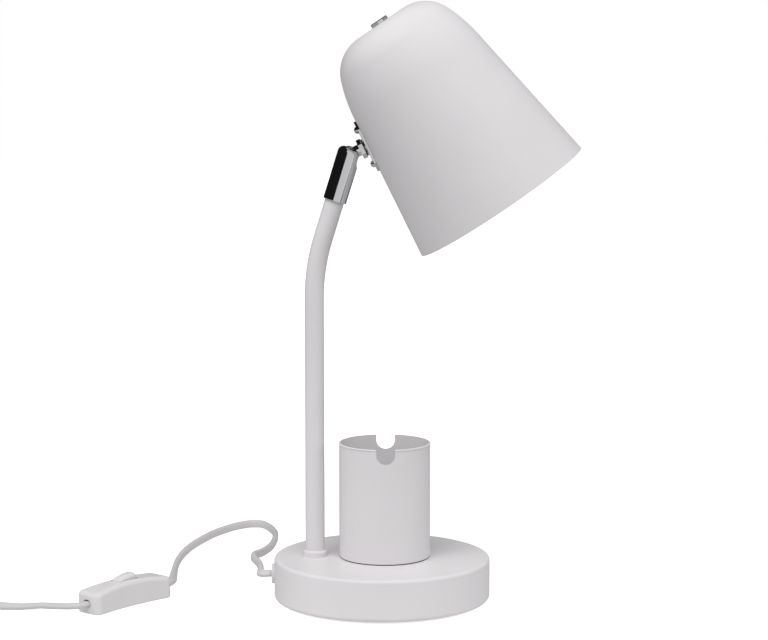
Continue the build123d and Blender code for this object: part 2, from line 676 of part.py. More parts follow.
def holder_cap():
    cap = rod(HOLDER_RADIUS, CAP_START, CAP_END)
    cap = fillet(edges_at(cap, CAP_START), 3 * HOLDER_EDGE)
    cap -= rod(HOLDER_RADIUS - HOLDER_WALL, CAP_START + 2 * HOLDER_WALL, CAP_END)
    cap -= rod(NIPPLE_RADIUS + SLIP, CAP_START, CAP_END)
    side = Plane(origin=(0, 0, LEAD_ENTRY), x_dir=(0, 1, 0), z_dir=(1, 0, 0))
    return cap - side * rod(CORE_RADIUS + SLIP, HOLDER_RADIUS / 2, HOLDER_RADIUS)


def holder_body():
    body = rod(HOLDER_RADIUS, CAP_END, HOLDER_END)
    body = fillet(edges_at(body, HOLDER_END), HOLDER_EDGE / 2)
    return body - rod(HOLDER_RADIUS - HOLDER_WALL, CAP_END, HOLDER_END)


def bulb_globe():
    neck_start = BULB_CAP_END
    centre = neck_start + GLOBE_CENTRE
    outside = Pos(0, 0, centre) * Sphere(GLOBE_RADIUS)
    outside += rod(GLOBE_NECK_RADIUS, neck_start, centre)
    inside = Pos(0, 0, centre) * Sphere(GLOBE_RADIUS - GLOBE_WALL)
    inside += rod(GLOBE_NECK_RADIUS - GLOBE_WALL, neck_start, centre)
    return outside - inside


def head_lead():
    """The cores inside the shade, from the hollow stem to the side of the holder's cap."""
    stem_end = shade_frame.to_local_coords(stem_frame.from_local_coords((0, 0, WALL_INSIDE)))
    past = shade_frame.to_local_coords(stem_frame.from_local_coords((0, 0, WALL_INSIDE + HEAD_LEAD_OUT)))
    middle = (HOLDER_RADIUS + past.X) / 2 + HEAD_LEAD_ASIDE
    points = [
        (stem_end.X, 0, stem_end.Z),
        (past.X, 0, past.Z),
        (middle, 0, HOLDER_END - HEAD_LEAD_TURN),
        (middle, 0, CAP_END + HEAD_LEAD_UP),
        (HOLDER_RADIUS + HEAD_LEAD_IN, 0, LEAD_ENTRY),
        (HOLDER_RADIUS - HOLDER_WALL, 0, LEAD_ENTRY),
    ]
    return tube_on_route("head_lead", points, CORE_RADIUS)


parts["finial_nut"] = shade_frame * finial_nut()
parts["holder_nipple"] = shade_frame * ring(
    NIPPLE_RADIUS, NIPPLE_BORE, -FINIAL_HEIGHT + FINIAL_EDGE, HOLDER_NIPPLE_REACH
)
parts["holder_nut"] = shade_frame * hex_nut(
    HOLDER_NUT_FLATS, NIPPLE_RADIUS + SLIP, SHADE_WALL, SHADE_WALL + HOLDER_NUT_HEIGHT
)
parts["holder_cap"] = shade_frame * holder_cap()
parts["holder_body"] = shade_frame * holder_body()
parts["holder_insert"] = shade_frame * rod(
    HOLDER_RADIUS - HOLDER_WALL - SLIP, INSERT_LOW, INSERT_HIGH
)
parts["screw_shell"] = shade_frame * ring(
    SHELL_RADIUS + SHELL_WALL, SHELL_RADIUS, INSERT_HIGH, INSERT_HIGH + SHELL_LENGTH
)
parts["centre_contact"] = shade_frame * rod(CONTACT_RADIUS, INSERT_HIGH, INSERT_HIGH + CONTACT_THICK)
parts["head_lead"] = shade_frame * head_lead()
parts["bulb_globe"] = shade_frame * bulb_globe()
parts["bulb_cap"] = shade_frame * ring(
    BULB_CAP_RADIUS, BULB_CAP_RADIUS - HOLDER_WALL / 2, BULB_START, BULB_CAP_END
)
parts["bulb_contact"] = shade_frame * (
    rod(BULB_CAP_RADIUS - HOLDER_WALL / 2, BULB_START, BULB_START + BULB_CONTACT_HEIGHT)
    + rod(CONTACT_RADIUS, BULB_START - BULB_CONTACT_HEIGHT, BULB_START)
)


# ---- The lead inside the lamp ----
def cord_gland():
    """A round bush in the base's side, a flange outside and a collar inside."""
    drum = rod(BASE_RADIUS, 0, BASE_TOP)
    cavity = rod(SHELL_INSIDE, 0, BASE_TOP)
    near = BASE_RADIUS - GLAND_RADIUS
    flange = gland_axis * rod(GLAND_RADIUS, near, BASE_RADIUS + GLAND_STAND)
    flange = chamfer(flange.edges().filter_by(GeomType.CIRCLE).sort_by(Axis.X)[0], SLEEVE_FOOT_EDGE) - drum
    neck = gland_axis * rod(GLAND_NECK, SHELL_INSIDE - GLAND_REACH, BASE_RADIUS + GLAND_STAND / 2)
    collar = (gland_axis * rod(GLAND_COLLAR, SHELL_INSIDE - GLAND_REACH, BASE_RADIUS)) & cavity
    bore = gland_axis * rod(CORE_RADIUS + SLIP, 0, BASE_RADIUS + GLAND_STAND)
    return flange + neck + collar - bore


def cord_clamp():
    low = BALLAST_FOOT - CLAMP_THICK
    clamp = block(
        (CLAMP_X - CLAMP_LENGTH / 2, CLAMP_X + CLAMP_LENGTH / 2),
        (CLAMP_Y - CLAMP_WIDTH / 2, CLAMP_Y + CLAMP_WIDTH / 2),
        (low, BALLAST_FOOT),
    )
    for x, y in clamp_spots:
        clamp -= rod(M3_RADIUS + SLIP, low, BALLAST_FOOT, x, y)
    groove = CORE_RADIUS + SLIP
    clamp -= Pos(CLAMP_X, CLAMP_Y, CLAMP_FLEX) * Rot(0, 90, 0) * Cylinder(groove, CLAMP_LENGTH)
    return clamp - block(
        (CLAMP_X - CLAMP_LENGTH / 2, CLAMP_X + CLAMP_LENGTH / 2),
        (CLAMP_Y - groove, CLAMP_Y + groove),
        (CLAMP_FLEX, BALLAST_FOOT),
    )


CLAMP_FLEX = BALLAST_FOOT - CORE_RADIUS - 2 * SLIP
FLEX_LOW = PLATE_TOP + CORE_RADIUS + 0.6
FLEX_JOIN = BALLAST_FOOT + 2
FLEX_TURN = 13.0  # inside the base's edge, the cores turn aside past the weight
flex_in_base = [
    (GLAND_FACE, 0, GLAND_HEIGHT),
    (FLEX_TURN - BASE_RADIUS, 0, GLAND_HEIGHT),
    (FLEX_TURN + 5 - BASE_RADIUS, 13, CLAMP_FLEX - 2),
    (-44, CLAMP_Y, CLAMP_FLEX),
    (-18, CLAMP_Y, CLAMP_FLEX),
    (-4, 13, 8),
    (-14, -5, FLEX_LOW),
    (TUBE_X, 0, FLEX_LOW),
    (TUBE_X, 0, FLEX_JOIN),
]
flex_top = SEAT_TOP - SEAT_LENGTH + 2
parts["cord_gland"] = cord_gland()
parts["cord_clamp"] = cord_clamp()
parts["clamp_screws"] = Compound([
    upward_screw(x, y, BALLAST_FOOT - CLAMP_THICK, CLAMP_THICK + CLAMP_SCREW_REACH - 1).solid()
    for x, y in clamp_spots
])
parts["flex_in_base"] = tube_on_route("flex_in_base", flex_in_base, CORE_RADIUS, 0.3)
parts["flex_in_tube"] = tube_along(tube_path(FLEX_JOIN, flex_top), CORE_RADIUS)


# ---- Switch in the lead ----
SWITCH_HALF = SWITCH_LENGTH / 2
WINDOW_HALF = ROCKER_SWEEP + RUN_GAP


def switch_blank(inset):
    """The switch's outside drawn in by an inset: a waisted plan under an arched top."""
    end, side = SWITCH_HALF - inset, SWITCH_WIDTH / 2 - inset
    outline = [
        ThreePointArc((-end, side), (0, side - SWITCH_WAIST), (end, side)),
        Line((end, side), (end, -side)),
        ThreePointArc((end, -side), (0, SWITCH_WAIST - side), (-end, -side)),
        Line((-end, -side), (-end, side)),
    ]
    sag = SWITCH_TOP - SWITCH_END_HEIGHT
    arch_radius = (SWITCH_HALF**2 + sag**2) / (2 * sag)
    arch = Pos(0, 0, SWITCH_TOP - inset - arch_radius) * Rot(90, 0, 0) * Cylinder(arch_radius, 2 * SWITCH_WIDTH)
    blank = (Pos(0, 0, inset) * extrude(make_face(Curve() + outline), 2 * SWITCH_TOP)) & arch
    return fillet(blank.edges().filter_by(Axis.Z), SWITCH_CORNER - inset)


def switch_outside():
    blank = switch_blank(0)
    blank = fillet(blank.faces().sort_by(Axis.Z)[-1].edges(), SWITCH_EDGE)
    return fillet(blank.faces().sort_by(Axis.Z)[0].edges(), SWITCH_FOOT_EDGE)


def switch_slots():
    """The two flat holes where the lead goes in and out, half in each shell."""
    slot = extrude(SlotOverall(LEAD, SWITCH_SLOT_HEIGHT), SWITCH_LENGTH, both=True)
    return Pos(0, 0, SWITCH_SPLIT) * Rot(0, 90, 0) * Rot(0, 0, 90) * slot


def switch_shells():
    hollow = switch_outside() - switch_blank(SWITCH_WALL)
    big = SWITCH_LENGTH
    below = block((-big, big), (-big, big), (-1, SWITCH_SPLIT))
    above = block((-big, big), (-big, big), (SWITCH_SPLIT, big))
    screws = [(side * SWITCH_SCREW_X, SWITCH_SCREW_Y) for side in (-1, 1)]
    lower = hollow & below
    upper = hollow & above
    for x, y in screws:
        lower += rod(SWITCH_BOSS, SWITCH_WALL / 2, SWITCH_SPLIT, x, y)
        lower -= rod(SWITCH_SCREW_HEAD, 0, SWITCH_WALL, x, y)
        lower -= rod(SWITCH_SCREW_RADIUS + SLIP, 0, SWITCH_SPLIT, x, y)
        upper += rod(SWITCH_BOSS, SWITCH_SPLIT, SWITCH_TOP, x, y) & switch_blank(SWITCH_WALL / 2)
        upper -= rod(SWITCH_SCREW_RADIUS + SLIP, SWITCH_SPLIT, SWITCH_END_HEIGHT - SWITCH_WALL / 2, x, y)
    opening = RectangleRounded(2 * WINDOW_HALF, ROCKER_WIDTH + 2 * RUN_GAP, WINDOW_CORNER)
    window = Pos(0, 0, ROCKER_PIVOT - PIVOT_RADIUS) * extrude(opening, big)
    for side in (-1, 1):
        near = ROCKER_WIDTH / 2 + RUN_GAP
        across = sorted((side * near, side * (PIVOT_END + RUN_GAP)))
        upper += block((-PIVOT_EAR, PIVOT_EAR), across, (ROCKER_PIVOT - PIVOT_EAR, SWITCH_TOP - SWITCH_WALL / 2))
    upper -= window
    upper -= Pos(0, 0, ROCKER_PIVOT) * Rot(90, 0, 0) * Cylinder(PIVOT_RADIUS + TURNING, 2 * PIVOT_END + 2 * RUN_GAP)
    return lower - switch_slots(), upper - switch_slots()


def rocker():
    """The rocker with its trunnions, level, then leaned to where the photograph has it."""
    foot = ROCKER_PIVOT - ROCKER_FOOT
    crown = ThreePointArc(
        (-ROCKER_SWEEP, ROCKER_TOP - ROCKER_CROWN), (0, ROCKER_TOP), (ROCKER_SWEEP, ROCKER_TOP - ROCKER_CROWN)
    )
    side = [
        crown,
        Line(crown @ 1, (ROCKER_SWEEP, foot)),
        Line((ROCKER_SWEEP, foot), (-ROCKER_SWEEP, foot)),
        Line((-ROCKER_SWEEP, foot), crown @ 0),
    ]
    body = extrude(Plane.XZ * make_face(Curve() + side), ROCKER_WIDTH, both=True)
    body &= Pos(0, 0, foot) * extrude(RectangleRounded(2 * ROCKER_SWEEP, ROCKER_WIDTH, ROCKER_CORNER), SWITCH_TOP)
    across = Pos(0, 0, ROCKER_PIVOT) * Rot(90, 0, 0)
    body &= across * Cylinder(ROCKER_SWEEP, 2 * ROCKER_WIDTH)
    body = fillet(body.faces().sort_by(Axis.Z)[-1].edges(), ROCKER_EDGE)
    body += across * Cylinder(PIVOT_RADIUS, 2 * PIVOT_END)
    return Pos(0, 0, ROCKER_PIVOT) * Rot(0, -ROCKER_THROW / 2, 0) * Pos(0, 0, -ROCKER_PIVOT) * body


def switch_terminal(side):
    x, y = side * TERMINAL_X, TERMINAL_Y
    half = TERMINAL_LENGTH / 2
    return block(
        (x - half, x + half), (y - TERMINAL_SIZE / 2, y + TERMINAL_SIZE / 2),
        (SWITCH_WALL, SWITCH_WALL + TERMINAL_SIZE),
    )


def switch_screw(side):
    x = side * SWITCH_SCREW_X
    head = rod(SWITCH_SCREW_HEAD - SLIP, RUN_GAP, SWITCH_WALL, x, SWITCH_SCREW_Y)
    return head + rod(SWITCH_SCREW_RADIUS, SWITCH_WALL, SWITCH_END_HEIGHT - SWITCH_WALL, x, SWITCH_SCREW_Y)


lower_shell, upper_shell = switch_shells()
parts["switch_lower"] = switch_frame * lower_shell
parts["switch_upper"] = switch_frame * upper_shell
parts["switch_rocker"] = switch_frame * rocker()
parts["switch_terminals"] = Compound([(switch_frame * switch_terminal(s)).solid() for s in (-1, 1)])
parts["switch_screws"] = Compound([(switch_frame * switch_screw(s)).solid() for s in (-1, 1)])
parts["switch_cores"] = switch_frame * Pos(0, 0, SWITCH_SPLIT) * Rot(0, 90, 0) * Cylinder(
    CORE_RADIUS, SWITCH_LENGTH
)


# ---- Free lead: to the switch, on to the coil, and its plug ----
def on_switch(x, z=SWITCH_SPLIT):
    point = switch_frame.from_local_coords((x, 0, z))
    return (point.X, point.Y, point.Z)


LYING = LEAD_RADIUS
COIL_LOW = LYING + COIL_LIFT
lead_to_switch = [
    (GLAND_FACE, 0, GLAND_HEIGHT),
    (GLAND_FACE - LEAD_OUT, 0, GLAND_HEIGHT),
    (GLAND_FACE - LEAD_OUT - 1, 26, GLAND_HEIGHT),
    (-93, 50, 18),
    (-92, 60, 17.6),
    (-87.6, 74, 15.8),
    (-81.8, 104, 13.9),
    (-80.6, 140, 12.6),
    (-82, 170, 8.8),
    (-84.5, 195, 4.8),
    (-88, 216, LYING),
    (-95.5, 232.3, LYING),
    (-105.5, 232.8, LYING),
    (-117, 222.5, LYING),
    (-131, 198.8, LYING),
    (-140.5, 170.6, LYING),
    (-146.4, 148.7, LYING),
    (-150.8, 120, LYING),
    (-152, 92, LYING),
    (-151.1, 70, 3.7),
    (-150.3, 54, 4.5),
    (-149.5, 39, 5.4),
    (-148.9, 27, 6.4),
    on_switch(SWITCH_HALF + SWITCH_LEAVE),
    on_switch(SWITCH_HALF),
]
lead_to_coil = [
    on_switch(-SWITCH_HALF),
    on_switch(-SWITCH_HALF - SWITCH_LEAVE),
    (-212, -48, 6.5),
    (-221, -42.6, 5.3),
    (-235, -35.6, 4.2),
    (-249, -31.6, 3.3),
    (-262, -30.7, LYING),
    (-286, COIL_Y + COIL_RADIUS, COIL_LOW),
    (COIL_X + COIL_STRAIGHT_IN, COIL_Y + COIL_RADIUS, COIL_LOW),
]


def coil_point(turns):
    """A point of the coil and its direction, a number of turns from its start."""
    layer_turns = (COIL_TURNS - CLIMB_TURNS) / 2
    inner = COIL_RADIUS - COIL_PITCH * layer_turns
    if turns <= layer_turns:
        radius, pace, height, climb = COIL_RADIUS - COIL_PITCH * turns, -COIL_PITCH, 0, 0
    elif turns >= layer_turns + CLIMB_TURNS:
        radius = inner + COIL_PITCH * (turns - layer_turns - CLIMB_TURNS)
        pace, height, climb = COIL_PITCH, COIL_LAYER, 0
    else:
        share = (turns - layer_turns) / CLIMB_TURNS
        radius = inner - COIL_PITCH * CLIMB_TURNS * share * (1 - share)
        pace = COIL_PITCH * (2 * share - 1)
        height = COIL_LAYER * (3 - 2 * share) * share**2
        climb = COIL_LAYER * 6 * share * (1 - share) / CLIMB_TURNS
    angle = pi / 2 + 2 * pi * turns
    point = Vector(
        COIL_X + radius * cos(angle), COIL_Y + radius * sin(angle), COIL_LOW + height
    )
    way = Vector(
        pace * cos(angle) - 2 * pi * radius * sin(angle),
        pace * sin(angle) + 2 * pi * radius * cos(angle),
        climb,
    )
    return point, way.normalized()


def biarc(start, way_in, end, way_out):
    """Two arcs from one point to another that leave and arrive along the given ways."""
    chord = end - start
    both = way_in + way_out
    a = both.dot(both) - 4
    b = -2 * chord.dot(both)
    c = chord.dot(chord)
    reach = -c / b if abs(a) < 1e-9 else (-b - sqrt(b * b - 4 * a * c)) / (2 * a)
    middle = (start + way_in * reach + end - way_out * reach) / 2
    into = (end - way_out * reach - start - way_in * reach).normalized()
    return [TangentArc(start, middle, tangent=way_in), TangentArc(middle, end, tangent=into)]


plug_axis_height = PLUG_HEIGHT / 2


def coil_edges():
    """The coil's centreline: straight in, quarter turns as biarcs, then down to the plug."""
    quarters = ceil(4 * COIL_TURNS)
    stations = [coil_point(COIL_TURNS * i / quarters) for i in range(quarters + 1)]
    first, last = stations[0][0], stations[-1][0]
    straight_in = Vector(COIL_X + COIL_STRAIGHT_IN, first.Y, first.Z)
    stations.insert(0, (straight_in, Vector(-1, 0, 0)))
    drop = COIL_LOW + COIL_LAYER - plug_axis_height
    stations.append((last + Vector(0, -EXIT_LEVEL, -EXIT_SAG), Vector(0, -1, -EXIT_SAG / EXIT_LEVEL)))
    halfway = (EXIT_LEVEL + EXIT_LENGTH) / 2
    stations.append((last + Vector(0, -halfway, -drop / 2), Vector(0, -1, -drop / EXIT_LENGTH)))
    stations.append((last + Vector(0, -EXIT_LENGTH, -drop), Vector(0, -1, 0)))
    stations = [(point, way.normalized()) for point, way in stations]
    edges = []
    for (start, way_in), (end, way_out) in zip(stations, stations[1:]):
        edges += biarc(start, way_in, end, way_out)
    end = stations[-1][0]
    edges.append(Line(end, end + Vector(0, -LEAD, 0)))
    return edges, end + Vector(0, -LEAD, 0)


def least_gap(path, radius):
    """The least gap between two turns of a tube, measured on points along it."""
    count = ceil(path.length / 2)
    points = [path @ (i / count) for i in range(count + 1)]
    step = path.length / count
    apart = ceil(8 * radius / step)
    nearest = min(
        (points[i] - points[j]).length
        for i in range(len(points)) for j in range(i + apart, len(points))
    )
    return nearest - 2 * radius


coil_line, plug_end = coil_edges()
coil_wire = Wire([line.edge() for line in coil_line])
parts["cord_to_switch"] = tube_on_route("cord_to_switch", lead_to_switch, LEAD_RADIUS)
parts["cord_to_coil"] = tube_on_route("cord_to_coil", lead_to_coil, LEAD_RADIUS)
coil_start = Plane(origin=coil_wire @ 0, z_dir=(-1, 0, 0))
parts["cord_coil"] = sweep(coil_start * Circle(LEAD_RADIUS), path=coil_wire)
print("cord_coil length", round(coil_wire.length, 1), "least gap",
      round(least_gap(coil_wire, LEAD_RADIUS), 2), "volume ratio",
      round(parts["cord_coil"].volume / (coil_wire.length * pi * LEAD_RADIUS**2), 4))


def coil_tie():
    """A flat band round the coil's turns at one place."""
    first_pass = (TIE_ANGLE - 90) % 360 / 360
    passes = [coil_point(first_pass + i)[0] for i in range(int(COIL_TURNS - first_pass) + 1)]
    distances = [hypot(point.X - COIL_X, point.Y - COIL_Y) for point in passes]
    out_side = max(distances) + LEAD_RADIUS + TIE_GAP
    in_side = sqrt((min(distances) - LEAD_RADIUS) ** 2 - (TIE_WIDTH / 2) ** 2) - TIE_GAP
    low = COIL_LIFT - TIE_GAP
    high = COIL_LIFT + LEAD + COIL_LAYER + TIE_GAP
    outside = block(
        (in_side - TIE_THICK, out_side + TIE_THICK), (-TIE_WIDTH / 2, TIE_WIDTH / 2),
        (low - TIE_THICK, high + TIE_THICK),
    )
    outside = fillet(outside.edges().filter_by(Axis.Y), LEAD_RADIUS)
    inside = block((in_side, out_side), (-TIE_WIDTH, TIE_WIDTH), (low, high))
    inside = fillet(inside.edges().filter_by(Axis.Y), LEAD_RADIUS - TIE_THICK)
    return Pos(COIL_X, COIL_Y, 0) * Rot(0, 0, TIE_ANGLE) * (outside - inside)


plug_frame = Plane(
    origin=plug_end + Vector(0, -RELIEF_LENGTH, 0), x_dir=(1, 0, 0), z_dir=(0, -1, 0)
)


def plug_body():
    """A flat two-pin plug with its moulded strain relief."""
    half, neck = PLUG_WIDTH / 2, PLUG_NECK_WIDTH / 2
    plan = Polyline(
        (-neck, 0), (neck, 0), (half, PLUG_SHOULDER), (half, PLUG_LENGTH),
        (-half, PLUG_LENGTH), (-half, PLUG_SHOULDER), close=True,
    )
    body = extrude(Plane.XZ * make_face(plan), PLUG_HEIGHT / 2, both=True)
    body = fillet(body.edges().filter_by(Axis.Y), PLUG_EDGE)
    flats = body.faces().filter_by(Axis.Y)
    body = fillet([edge for face in flats for edge in face.edges()], PLUG_EDGE / 2)
    relief = Pos(0, 0, -RELIEF_LENGTH) * Cone(
        RELIEF_END_RADIUS, RELIEF_ROOT_RADIUS, RELIEF_LENGTH + PLUG_EDGE,
        align=(Align.CENTER, Align.CENTER, Align.MIN),
    )
    return body + relief


def plug_pin(side):
    pin = rod(PIN_RADIUS, PLUG_LENGTH, PLUG_LENGTH + PIN_LENGTH, side * PIN_PITCH / 2)
    return fillet(edges_at(pin, PLUG_LENGTH + PIN_LENGTH), PIN_RADIUS / 2)


parts["coil_tie"] = coil_tie()
parts["plug_body"] = plug_frame * plug_body()
parts["plug_pins"] = Compound([(plug_frame * plug_pin(s)).solid() for s in (-1, 1)])

os.makedirs("parts", exist_ok=True)
for name, solid in parts.items():
    export_step(solid, f"parts/{name}.step")
print(len(parts), "sub-parts")
for name, frame in [("sleeve", sleeve_frame), ("stem", stem_frame), ("shade", shade_frame),
                    ("switch", switch_frame), ("plug", plug_frame)]:
    print(name, "frame at", [round(v, 3) for v in frame.origin], "along", [round(v, 5) for v in frame.z_dir])
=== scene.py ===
"""Looks of the desk lamp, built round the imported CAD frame. Metres and degrees, Z up."""
import json
import math

import bpy
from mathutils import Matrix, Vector


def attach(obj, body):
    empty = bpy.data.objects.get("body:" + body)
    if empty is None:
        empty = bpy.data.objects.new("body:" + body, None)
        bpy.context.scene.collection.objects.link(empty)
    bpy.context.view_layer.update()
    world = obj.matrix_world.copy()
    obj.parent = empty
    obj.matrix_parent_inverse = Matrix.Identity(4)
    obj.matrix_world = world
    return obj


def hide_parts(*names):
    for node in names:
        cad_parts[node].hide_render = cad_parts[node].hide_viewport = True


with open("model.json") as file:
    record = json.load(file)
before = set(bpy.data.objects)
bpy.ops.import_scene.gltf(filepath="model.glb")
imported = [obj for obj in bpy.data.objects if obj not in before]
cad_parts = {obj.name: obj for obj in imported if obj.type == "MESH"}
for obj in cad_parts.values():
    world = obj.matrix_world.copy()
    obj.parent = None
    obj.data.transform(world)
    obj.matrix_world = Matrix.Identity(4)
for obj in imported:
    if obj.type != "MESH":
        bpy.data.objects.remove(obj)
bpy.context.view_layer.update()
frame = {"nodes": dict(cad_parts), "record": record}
NODES = frame["nodes"]
MM = 0.001


# ---- Material helpers ----
def set_range(node, from_low, from_high, low, high):
    """Sets the four ends of a Map Range node."""
    for key, number in zip(("From Min", "From Max", "To Min", "To Max"), (from_low, from_high, low, high)):
        node.inputs[key].default_value = number


class Shader:
    """A Principled material with a few short ways to add procedural detail."""

    def __init__(self, name, colour, roughness, metallic=0.0, **inputs):
        self.material = bpy.data.materials.new(name)
        self.material.use_nodes = True
        self.nodes = self.material.node_tree.nodes
        self.links = self.material.node_tree.links
        self.bsdf = self.nodes["Principled BSDF"]
        self.bsdf.inputs["Base Color"].default_value = (*colour, 1)
        self.bsdf.inputs["Roughness"].default_value = roughness
        self.bsdf.inputs["Metallic"].default_value = metallic
        for key, value in inputs.items():
            self.bsdf.inputs[key.replace("_", " ")].default_value = value
        self.coordinates = self.nodes.new("ShaderNodeTexCoord").outputs["Object"]
        self.colour = colour
        self.normal = None

    def node(self, kind, **settings):
        made = self.nodes.new(kind)
        for key, value in settings.items():
            if key in made.inputs:
                made.inputs[key].default_value = value
            else:
                setattr(made, key, value)
        return made

    def stretched(self, scale):
        """The object's coordinates, multiplied along each axis."""
        mapping = self.node("ShaderNodeMapping")
        mapping.inputs["Scale"].default_value = scale
        self.links.new(self.coordinates, mapping.inputs["Vector"])
        return mapping.outputs["Vector"]

    def noise(self, scale, detail, vector=None):
        made = self.node("ShaderNodeTexNoise", Scale=scale, Detail=detail)
        self.links.new(vector or self.coordinates, made.inputs["Vector"])
        return made.outputs["Fac"]

    def cells(self, scale):
        made = self.node("ShaderNodeTexVoronoi", Scale=scale)
        self.links.new(self.coordinates, made.inputs["Vector"])
        return made.outputs["Distance"]

    def waves(self, scale, direction):
        made = self.node("ShaderNodeTexWave", Scale=scale, bands_direction=direction)
        self.links.new(self.coordinates, made.inputs["Vector"])
        return made.outputs["Fac"]

    def fitted(self, value, low, high, from_low=0.3, from_high=0.7):
        """The value, stretched so that it runs from low to high."""
        made = self.node("ShaderNodeMapRange")
        set_range(made, from_low, from_high, low, high)
        self.links.new(value, made.inputs["Value"])
        return made.outputs["Result"]

    def vary(self, value, darker, lighter=1.0):
        """Lets the colour run between two strengths of itself."""
        made = self.node("ShaderNodeMix", data_type="RGBA")
        made.inputs[6].default_value = (*(c * darker for c in self.colour), 1)
        made.inputs[7].default_value = (*(min(1.0, c * lighter) for c in self.colour), 1)
        self.links.new(value, made.inputs[0])
        self.links.new(made.outputs[2], self.bsdf.inputs["Base Color"])
        return self

    def rough(self, value, low, high, from_low=0.3, from_high=0.7):
        self.links.new(self.fitted(value, low, high, from_low, from_high), self.bsdf.inputs["Roughness"])
        return self

    def bump(self, value, depth, strength=1.0):
        """Adds a bump of a real depth in metres on top of those already there."""
        made = self.node("ShaderNodeBump", Strength=strength, Distance=depth)
        self.links.new(value, made.inputs["Height"])
        if self.normal:
            self.links.new(self.normal, made.inputs["Normal"])
        self.normal = made.outputs["Normal"]
        self.links.new(self.normal, self.bsdf.inputs["Normal"])
        return self


def powder_coat():
    s = Shader("powder_coat", (0.765, 0.744, 0.76), 0.46, Specular_IOR_Level=0.42)
    s.vary(s.fitted(s.noise(14, 4), 0, 1), 0.975, 1.012)
    s.rough(s.noise(60, 3), 0.42, 0.5)
    s.bump(s.noise(650, 2), 0.00006, 0.35)
    return s.bump(s.noise(2600, 2), 0.00002, 0.3)


def chrome():
    s = Shader("chrome_plate", (0.80, 0.80, 0.815), 0.07, 1.0)
    s.rough(s.noise(120, 5), 0.04, 0.12)
    return s.bump(s.noise(45, 2), 0.00002, 0.2)


def zinc():
    s = Shader("zinc_steel", (0.63, 0.64, 0.66), 0.3, 1.0)
    s.vary(s.cells(420), 0.86, 1.05)
    s.rough(s.noise(300, 4), 0.24, 0.4)
    return s.bump(s.noise(900, 3, s.stretched((1, 1, 6))), 0.00003, 0.3)


def cast_iron():
    s = Shader("iron_ballast", (0.13, 0.13, 0.135), 0.72, 0.6)
    s.vary(s.noise(180, 5), 0.75, 1.3)
    return s.bump(s.noise(420, 5), 0.0002, 0.7)


def brass():
    s = Shader("turned_brass", (0.78, 0.60, 0.31), 0.26, 1.0)
    s.rough(s.noise(260, 4), 0.2, 0.36)
    return s.bump(s.waves(1500, "Z"), 0.00002, 0.25)


def foam():
    s = Shader("foam_pad", (0.80, 0.80, 0.80), 0.92, Specular_IOR_Level=0.2)
    s.vary(s.noise(200, 3), 0.93)
    return s.bump(s.cells(1400), 0.0002, 0.6)


def dark_rubber():
    s = Shader("dark_rubber", (0.035, 0.035, 0.037), 0.66)
    return s.bump(s.noise(1500, 3), 0.00004, 0.4)


def sheath():
    s = Shader("cord_sheath", (0.63, 0.612, 0.625), 0.5, Specular_IOR_Level=0.4)
    s.vary(s.fitted(s.noise(35, 4), 0, 1), 0.965, 1.015)
    s.rough(s.noise(160, 3), 0.42, 0.56)
    return s.bump(s.noise(1300, 2), 0.00004, 0.3)


def insulation():
    s = Shader("core_insulation", (0.72, 0.71, 0.69), 0.46)
    s.vary(s.noise(90, 3), 0.95)
    return s.bump(s.noise(1700, 2), 0.00003, 0.3)


def moulded(name, colour, roughness, grain=1800, depth=0.00003):
    s = Shader(name, colour, roughness, Specular_IOR_Level=0.45)
    s.vary(s.fitted(s.noise(40, 4), 0, 1), 0.975, 1.01)
    s.rough(s.noise(240, 3), roughness - 0.04, roughness + 0.05)
    return s.bump(s.noise(grain, 2), depth, 0.35)


def nickel():
    s = Shader("pin_plate", (0.76, 0.74, 0.70), 0.16, 1.0)
    s.rough(s.noise(350, 4, s.stretched((1, 0.1, 1))), 0.12, 0.26)
    return s.bump(s.noise(1400, 2, s.stretched((1, 0.08, 1))), 0.00001, 0.3)


def band():
    """A woven hook-and-loop band, with its ribs across it."""
    s = Shader("tie_band", (0.035, 0.035, 0.038), 0.9, Sheen_Weight=0.5, Sheen_Roughness=0.5)
    s.vary(s.noise(900, 3), 0.7, 1.6)
    s.bump(s.waves(900, "Z"), 0.00018, 0.6)
    return s.bump(s.noise(3200, 3), 0.00012, 0.6)


def opal():
    s = Shader("opal_glass", (0.90, 0.90, 0.88), 0.16, Coat_Weight=0.6, Coat_Roughness=0.05)
    s.bsdf.inputs["Subsurface Weight"].default_value = 0.35
    s.bsdf.inputs["Subsurface Radius"].default_value = (0.004, 0.004, 0.0035)
    s.vary(s.noise(60, 3), 0.985)
    return s.bump(s.noise(70, 2), 0.00002, 0.2)


def ceramic():
    s = Shader("holder_ceramic", (0.82, 0.81, 0.78), 0.24, Coat_Weight=0.5, Coat_Roughness=0.1)
    s.vary(s.noise(220, 4), 0.95)
    return s.bump(s.noise(500, 3), 0.00004, 0.3)


def bulb_metal():
    s = Shader("bulb_metal", (0.70, 0.70, 0.71), 0.32, 1.0)
    s.rough(s.noise(500, 3), 0.26, 0.42)
    return s.bump(s.noise(1200, 2), 0.00002, 0.3)


